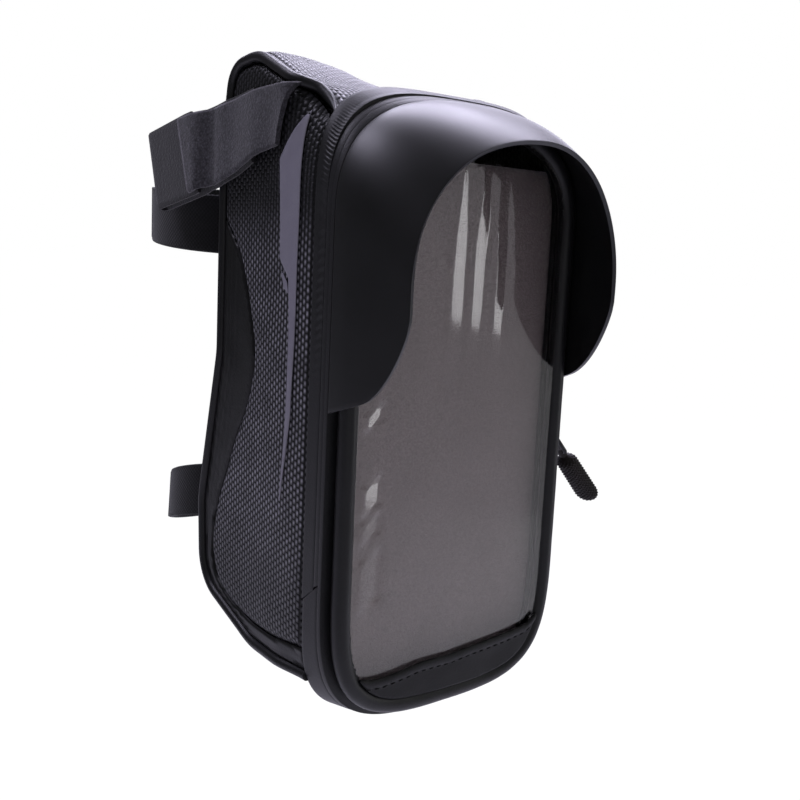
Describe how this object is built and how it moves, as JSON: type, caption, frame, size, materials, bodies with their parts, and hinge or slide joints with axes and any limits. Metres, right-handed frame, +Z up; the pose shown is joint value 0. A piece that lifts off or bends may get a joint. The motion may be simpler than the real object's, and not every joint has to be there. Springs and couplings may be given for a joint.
{
  "type": "handlebar phone bag",
  "caption": "Tall soft bag for a bicycle's handlebar and head tube, with straps behind, a zipped lid, a clear phone window and a hooded sun visor.",
  "frame": {"origin": "middle of the bag's width on its flat back face, 47 mm below that face's upper edge", "axes": "+Y out of the back towards the bicycle, +Z up towards the top of the bag, +X to the zip slider's side"},
  "size_m": [0.1305, 0.1853, 0.2089],
  "materials": {
    "grained_black_skin": "fine-grained black coated fabric, satin",
    "smooth_black_skin": "smooth black coated fabric, satin",
    "embossed_black_skin": "black coated fabric embossed with a fine check",
    "covered_cord": "black coated fabric rolled over a cord",
    "clear_film": "clear flexible film, glossy",
    "grey_backing": "dark grey lining cloth",
    "moulded_black_sheet": "black moulded sheet, satin outside and matte inside",
    "coated_zip_tape": "water-resistant black coated zip tape",
    "nylon_coil": "black nylon coil",
    "black_zinc": "black enamelled zinc",
    "moulded_pull": "knurled brown-black rubber",
    "black_webbing": "woven black strap",
    "charcoal_knit": "grainy charcoal loop pile",
    "hook_tape": "black hook tape",
    "reflective_print": "grey reflective film"
  },
  "bodies": {
    "bag": {"gusset_strip": "grained_black_skin", "side_panel_left": "embossed_black_skin", "side_panel_right": "embossed_black_skin", "side_border_left": "smooth_black_skin", "side_border_right": "smooth_black_skin", "piping_left": "covered_cord", "piping_right": "covered_cord", "reflective_stripe_left": "reflective_print", "reflective_stripe_right": "reflective_print", "hinge_strip": "smooth_black_skin", "zip_tape_body": "coated_zip_tape", "zip_coil_body": "nylon_coil", "zip_stop_left": "black_zinc", "zip_stop_right": "black_zinc", "neck_strap_left": "charcoal_knit", "neck_strap_left_end": "charcoal_knit", "neck_strap_right": "charcoal_knit", "neck_hook_patch_right": "hook_tape", "strap_loop_upper": "black_webbing", "strap_loop_lower": "black_webbing", "strap_keeper_upper": "black_webbing", "strap_keeper_lower": "black_webbing", "strap_tail_upper": "hook_tape", "strap_tail_lower": "hook_tape"},
    "lid": {"lid_frame": "smooth_black_skin", "lid_welt": "covered_cord", "window_film": "clear_film", "window_lip": "smooth_black_skin", "lip_hem": "smooth_black_skin", "pocket_back": "grey_backing", "sun_visor": "moulded_black_sheet", "zip_tape_lid": "coated_zip_tape", "zip_coil_lid": "nylon_coil"},
    "slider": {"zip_slider": "black_zinc"},
    "pull": {"pull_ring": "black_zinc", "pull_grip": "moulded_pull"}
  },
  "joints": [
    {"name": "lid_hinge", "type": "hinge", "parent": "bag", "child": "lid", "pos_m": [0, -0.0666, -0.1305], "axis": [1, 0, 0], "range_deg": [0, 100]},
    {"name": "slider_slide", "type": "slide", "parent": "bag", "child": "slider", "axis": [0, 0, 1], "range_m": [-0.03, 0.058]},
    {"name": "pull_swing", "type": "hinge", "parent": "slider", "child": "pull", "pos_m": [0.05055, -0.0666, -0.044], "axis": [0, -1, 0], "range_deg": [-33, 112]}
  ]
}
